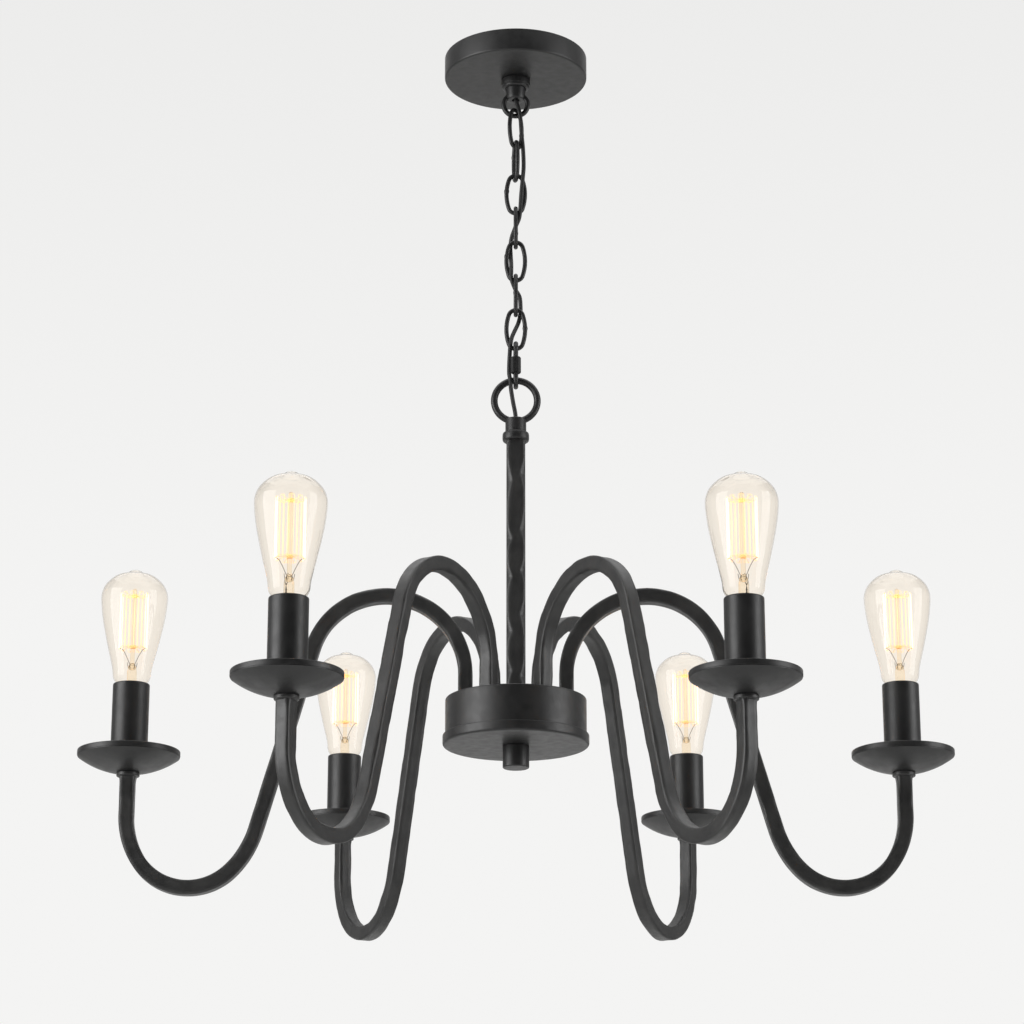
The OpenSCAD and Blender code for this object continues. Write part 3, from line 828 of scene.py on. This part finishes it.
flare_outline = softened(
    [
        (4.85, BOBECHE_Z), (DISC_R, BOBECHE_Z), (DISC_R, BOBECHE_Z - DISC_T),
        (DISC_R - 2, BOBECHE_Z - DISC_T - 0.8), (4.85, BOBECHE_Z - DISC_T - 0.8),
    ],
    [0.2, 0.6, 0.8, 0.4, 0.2], 5,
)
line = arm_line()
spans = [0.0]
for a, b in zip(line, line[1:]):
    spans.append(spans[-1] + (b - a).length)
for arm in range(6):
    turned = Matrix.Rotation(ARM_TURN[arm], 4, "Z")
    bar = bored(
        lambda i: arm_section(arm, spans[i], spans[-1]), line, 3.6, Vector((0, 1, 0))
    )
    flare = moved(lathe(flare_outline, 48), Matrix.Translation((LAMP_R, 0, 0)))
    stud = moved(
        lathe(
            softened(
                [(3.1, HUB_TOP - 9), (4.8, HUB_TOP - 9), (4.8, HUB_TOP + 1), (3.1, HUB_TOP + 1)], 0.3, 2
            ),
            40,
        ),
        Matrix.Translation((FOOT_R, 0, 0)),
    )
    add(
        f"hammered_arm_{arm + 1}", *moved(joined(bar, flare, stud), turned), HAMMERED,
        "fixture", [f"arm_{arm + 1}"], sharp=50,
    )

# ---- lamps ----

BOWL_R = 74.0
BOWL_CENTRE = BOBECHE_Z + 73.4


def bowl_height(r, inset=0.0):
    return BOWL_CENTRE - math.sqrt((BOWL_R - inset) ** 2 - r * r)


DISH_R = (node_box("bobeche_1")[1].x - node_box("bobeche_1")[0].x) / 2
DISH_TOP = node_box("bobeche_1")[1].z
DISH = (
    [(4.85, BOBECHE_Z + 1.6), (4.85, BOBECHE_Z), (9.2, BOBECHE_Z)]
    + [(10 + (DISH_R - 10.4) * k / 14, bowl_height(10 + (DISH_R - 10.4) * k / 14)) for k in range(15)]
    + softened(
        [
            (DISH_R, DISH_TOP - 4.6), (DISH_R, DISH_TOP), (DISH_R - 1.7, DISH_TOP),
            (DISH_R - 1.7, DISH_TOP - 4),
        ],
        [0.5, 0.8, 0.7, 1.0], 3,
    )
    + [
        (DISH_R - 2.6 - (DISH_R - 20) * k / 12, bowl_height(DISH_R - 2.6 - (DISH_R - 20) * k / 12, 1.6))
        for k in range(13)
    ]
)
SLEEVE_R = (node_box("candle_sleeve_1")[1].x - node_box("candle_sleeve_1")[0].x) / 2
SLEEVE = softened(
    [
        (SLEEVE_R, SLEEVE_FOOT), (SLEEVE_R, SLEEVE_TOP), (SLEEVE_R - 1.7, SLEEVE_TOP),
        (SLEEVE_R - 1.7, SLEEVE_TOP - 1.4), (SLEEVE_R - 1.2, SLEEVE_TOP - 2), (SLEEVE_R - 1.2, SLEEVE_FOOT),
    ],
    [0.3, 1.5, 0.5, 0.3, 0.5, 0.3], 5,
)
GLASS_OUTLINE = [
    (12.6, -13), (12.6, -5), (13.2, 0.5), (15, 3.2), (16.3, 6.3), (17.3, 14.3), (19.1, 22.3),
    (21, 29.8), (24.4, 44.8), (27.3, 59.8), (29, 75.3), (28.2, 83), (25, 89.5), (18, 96),
    (10.5, 98.8), (7.2, 99.6), (6, 101), (3.6, 102.5), (0, 102.9),
]
GLASS_T = 0.55


def glass_wall():
    outer = spline([(r, z, 0) for r, z in GLASS_OUTLINE], 7)
    outer = [(max(p.x, 0.0), p.y) for p in outer]
    inner = []
    for i, (r, z) in enumerate(outer):
        ahead, behind = outer[min(i + 1, len(outer) - 1)], outer[max(i - 1, 0)]
        way = Vector((ahead[0] - behind[0], ahead[1] - behind[1])).normalized()
        inner.append((max(r - GLASS_T * way.y, 0.0), z + GLASS_T * way.x))
    inner[-1] = (0.0, outer[-1][1] - GLASS_T)
    return outer + inner[::-1]


CAP_TOP, CAP_L, CAP_SHELL = -8.7, 27.0, 19.0


def cap_shape():
    """The screw cap with a true helical thread, its skirt of insulator and its contact."""
    foot = CAP_TOP - CAP_L
    rows, sides = 76, 48
    points, faces = [], []
    for j in range(rows + 1):
        z = foot + 8 + CAP_SHELL * j / rows
        for k in range(sides):
            a = 2 * math.pi * k / sides
            depth = 0.45 * (0.5 - 0.5 * math.cos(2 * math.pi * (z - foot) / 3.6 - a))
            fade = min(1.0, j / 8, (rows - j) / 10)
            r = 13.15 - depth * fade
            points.append(Vector((r * math.cos(a), r * math.sin(a), z)))
    for j in range(rows):
        for k in range(sides):
            c = (k + 1) % sides
            faces.append([j * sides + k, j * sides + c, (j + 1) * sides + c, (j + 1) * sides + k])
    faces.append(list(range(sides)))
    faces.append([rows * sides + k for k in range(sides)])
    tip = lathe(
        softened(
            [(0, foot), (4.5, foot), (5, foot + 1.5), (10.4, foot + 7.9), (0, foot + 7.9)],
            [0, 1.2, 0.6, 0.4, 0], 3, closed=False,
        ),
        40, closed=False,
    )
    return joined((points, faces), tip)


STEM_OUTLINE = softened(
    [(0, -13), (11.7, -13), (9, -9.5), (4.3, -3), (4.3, 12), (3.2, 16), (2.0, 19), (2.0, 85.5), (0, 86.5)],
    [0, 0.3, 2, 3, 1.5, 1.5, 1.5, 1.6, 0], 4, closed=False,
)
CAGE_R, CAGE_FOOT, CAGE_HEAD, STRANDS = 12.0, 32.0, 81.0, 20


def filament_runs(bloom_side):
    """The runs led up and down the cage; the ones near its two sides are drawn thicker and brighter, a
    painted highlight of bloom.
    """
    shapes = []
    for k in range(STRANDS):
        a = 2 * math.pi * (k + 0.5) / STRANDS
        if (abs(math.cos(a)) > 0.8) != bloom_side:
            continue
        lean = 0.04 * wander(k * 3.7, 0.2, 0.1)
        line = []
        for j in range(13):
            t = j / 12
            r = CAGE_R + 0.35 * math.sin(math.pi * t) * wander(k * 1.9, t * 2, 0.7)
            b = a + lean * t
            height = CAGE_FOOT + (CAGE_HEAD - CAGE_FOOT) * t
            line.append(Vector((r * math.cos(b), r * math.sin(b), height)))
        shapes.append(sweep(line, lambda i: ring_section(0.36 if bloom_side else 0.16, 8)))
    for k in range(0 if bloom_side else STRANDS):
        a, b = (2 * math.pi * (k + h) / STRANDS for h in (0.5, 1.5))
        z, lift = (CAGE_HEAD, 0.3) if k % 2 == 0 else (CAGE_FOOT, -0.3)
        line = []
        for t in (0, 0.25, 0.5, 0.75, 1):
            c = a + (b - a) * t
            rise = z + lift * math.sin(math.pi * t)
            line.append(Vector((CAGE_R * math.cos(c), CAGE_R * math.sin(c), rise)))
        shapes.append(sweep(line, lambda i: ring_section(0.16, 8)))
    return joined(*shapes)


def support_shape():
    """The two stars of hooks that hold the strand on the stem's rod."""
    shapes = []
    for z, lift in ((CAGE_HEAD - 1.5, 1.5), (CAGE_FOOT + 1.5, -1.5)):
        hub = softened(
            [(0, z - 1.4), (2.6, z - 1.4), (2.6, z + 1.4), (0, z + 1.4)], [0, 0.7, 0.7, 0], 3, closed=False
        )
        shapes.append(lathe(hub, 20, closed=False))
        for k in range(0, STRANDS, 2):
            a = 2 * math.pi * (k + (1.0 if lift > 0 else 2.0)) / STRANDS
            out = Vector((math.cos(a), math.sin(a), 0))
            hook = ((2, z), (6, z), (9.5, z + lift * 0.2), (11.5, z + lift * 0.7), (12.1, z + lift * 1.3))
            way = [out * r + Vector((0, 0, h)) for r, h in hook]
            shapes.append(sweep(spline(way, 3), lambda i: ring_section(0.2, 6)))
    return joined(*shapes)


def lead_shape():
    """The two wires from the stem's head out to the cage's foot."""
    shapes = []
    for side in (-1, 1):
        reach = ((1.0, 14), (1.4, 16), (2.6, 19), (5.4, 25.5), (8.6, 31), (11.6, 32.4))
        way = [Vector((side * r, 0, h)) for r, h in reach]
        shapes.append(sweep(spline(way, 4), lambda i: ring_section(0.27, 8)))
        stub = [Vector((side * r, side * 0.6, h)) for r, h in ((3.0, 14), (3.6, 16), (4.2, 19.5))]
        shapes.append(sweep(spline(stub, 3), lambda i: ring_section(0.27, 8)))
    return joined(*shapes)


def bead_shape():
    """The small glass bead that the lead wires leave."""
    return lathe(
        [(2.9 * math.sin(math.pi * k / 12), 15.5 - 3.2 * math.cos(math.pi * k / 12)) for k in range(13)],
        32, closed=False,
    )


for lamp in range(6):
    where = LAMPS[lamp]
    at_lamp = Matrix.Translation((where.x, where.y, 0)) @ Matrix.Rotation(ARM_TURN[lamp], 4, "Z")
    at_glass = Matrix.Translation((where.x, where.y, SLEEVE_TOP)) @ Matrix.Rotation(
        math.radians(8 * math.sin(2.1 * lamp)), 4, "Z"
    )
    n = lamp + 1
    add(f"drip_dish_{n}", *moved(lathe(DISH, 128), at_lamp), IRON, "fixture", [f"bobeche_{n}"])
    add(
        f"sleeve_{n}", *moved(lathe(SLEEVE, 96), at_lamp), IRON, "fixture",
        [f"candle_sleeve_{n}"],
    )
    body = f"bulb_{n}"
    glass = add(
        f"glass_{n}", *moved(lathe(glass_wall(), 144), at_glass), GLASS, body, [f"bulb_glass_{n}"],
        sharp=80, slot="amber_glass",
    )
    glass.visible_shadow = False
    add(
        f"cap_{n}", *moved(cap_shape(), at_glass), BRASS, body, [f"bulb_core_{n}"],
        sharp=50, slot="bulb_brass",
    )
    stem = add(
        f"glass_stem_{n}",
        *moved(joined(lathe(STEM_OUTLINE, 40, closed=False), bead_shape()), at_glass),
        GLASS_STEM, body, sharp=60, slot="amber_glass",
    )
    stem.visible_shadow = False
    add(
        # the side strands, thicker and brighter as a painted highlight of bloom
        f"filament_side_bloom_{n}", *moved(filament_runs(True), at_glass), FILAMENT_SIDE_BLOOM, body,
        sharp=80, slot="bulb_brass",
    )
    add(
        f"filament_{n}", *moved(filament_runs(False), at_glass), FILAMENT, body,
        sharp=80, slot="bulb_brass",
    )
    # the hooks' glow is painted light from the filament
    add(
        f"supports_{n}", *moved(support_shape(), at_glass), SUPPORT_PAINTED_GLOW, body, sharp=60,
        slot="bulb_brass",
    )
    add(
        f"lead_wires_{n}", *moved(lead_shape(), at_glass), LEAD, body, sharp=60, slot="bulb_brass",
    )

# ---- finishes of the pieces that stay as drawn in the frame ----

KEPT = {
    "crossbar": ZINC, "ground_screw": GREEN, "threaded_nipple": ZINC, "nipple_lock_nut": ZINC,
    "hub_nipple": ZINC, "hub_lock_nut": ZINC, "arm_nuts": ZINC, "arm_wires": WIRE_JACKET,
    "wire_caps": CAP_PLASTIC, "socket_nipples": ZINC, "sockets": SOCKET,
}
for node, finish in KEPT.items():
    mesh = frame["nodes"][node].data
    mesh.materials.clear()
    mesh.materials.append(finish)

# ---- studio: pale floor far below, white sides, a darker camera side ----

floor_mesh = bpy.data.meshes.new("floor")
floor_mesh.from_pydata(
    [(-9, -9, -2.7), (9, -9, -2.7), (9, 9, -2.7), (-9, 9, -2.7)], [], [[0, 1, 2, 3]]
)
FLOOR = coated("pale_floor", (0.82, 0.82, 0.81), (0.84, 0.84, 0.83), 0.8, [(30, 2, 0.0002)], patch=3)
floor_mesh.materials.append(FLOOR)
floor = bpy.data.objects.new("floor", floor_mesh)
scene.collection.objects.link(floor)

world = bpy.data.worlds.new("studio")
world.use_nodes = True
scene.world = world
tree = world.node_tree
background = tree.nodes["Background"]
background.inputs["Color"].default_value = (1.0, 0.998, 0.99, 1)
coord = tree.nodes.new("ShaderNodeTexCoord")
split = tree.nodes.new("ShaderNodeSeparateXYZ")
tree.links.new(coord.outputs["Generated"], split.inputs["Vector"])
behind = between(tree, split.outputs["Y"], 0.28, 0.9, 0.55, 0.97)
ahead = between(tree, split.outputs["Y"], 0.06, 1.0, -0.6, -0.1)
shade = tree.nodes.new("ShaderNodeMath")
shade.operation = "MULTIPLY"
tree.links.new(behind, shade.inputs[0])
tree.links.new(ahead, shade.inputs[1])
# what is seen directly, or through glass, is the plain pale backdrop
ray = tree.nodes.new("ShaderNodeLightPath")
direct = tree.nodes.new("ShaderNodeMath")
direct.operation = "MAXIMUM"
tree.links.new(ray.outputs["Is Camera Ray"], direct.inputs[0])
tree.links.new(ray.outputs["Is Transmission Ray"], direct.inputs[1])
seen = tree.nodes.new("ShaderNodeMix")
backdrop = between(tree, split.outputs["Z"], 0.905, 0.84, 0.25, 0.46)
tree.links.new(backdrop, seen.inputs["B"])
tree.links.new(direct.outputs[0], seen.inputs["Factor"])
tree.links.new(shade.outputs[0], seen.inputs["A"])
tree.links.new(seen.outputs["Result"], background.inputs["Strength"])


def soft_light(name, place, aim, size, power):
    data = bpy.data.lights.new(name, "AREA")
    data.shape = "RECTANGLE"
    data.size, data.size_y = size
    data.energy = power
    made = bpy.data.objects.new(name, data)
    made.location = place
    made.rotation_euler = (Vector(aim) - Vector(place)).to_track_quat("-Z", "Y").to_euler()
    made.visible_camera = False
    made.visible_transmission = False
    scene.collection.objects.link(made)


soft_light("left_softbox", (-2.7, -1.25, -0.2), (0, 0, -0.55), (2.2, 2.3), 82)
soft_light("right_softbox", (2.85, -0.85, -0.2), (0, 0, -0.55), (1.6, 2.2), 46)
soft_light("floor_wash", (0, 2.6, -0.2), (0, 4.5, -2.7), (3, 2), 75)
soft_light("front_wash", (0, -4.2, -0.3), (0, -6.2, -2.7), (4, 2), 90)
soft_light("overhead", (0, 0.3, 2.4), (0, 0.8, -2.7), (5, 5), 120)
for lamp in range(6):
    data = bpy.data.lights.new(f"glow_{lamp + 1}", "POINT")
    data.energy = 0.05
    data.color = (1.0, 0.62, 0.3)
    data.shadow_soft_size = 0.012
    glow = bpy.data.objects.new(f"glow_{lamp + 1}", data)
    glow.location = Vector((LAMPS[lamp].x, LAMPS[lamp].y, SLEEVE_TOP + 59)) * MM
    glow.visible_camera = False
    glow.visible_transmission = False
    glow.visible_glossy = False
    scene.collection.objects.link(glow)

scene.view_settings.view_transform = "Standard"
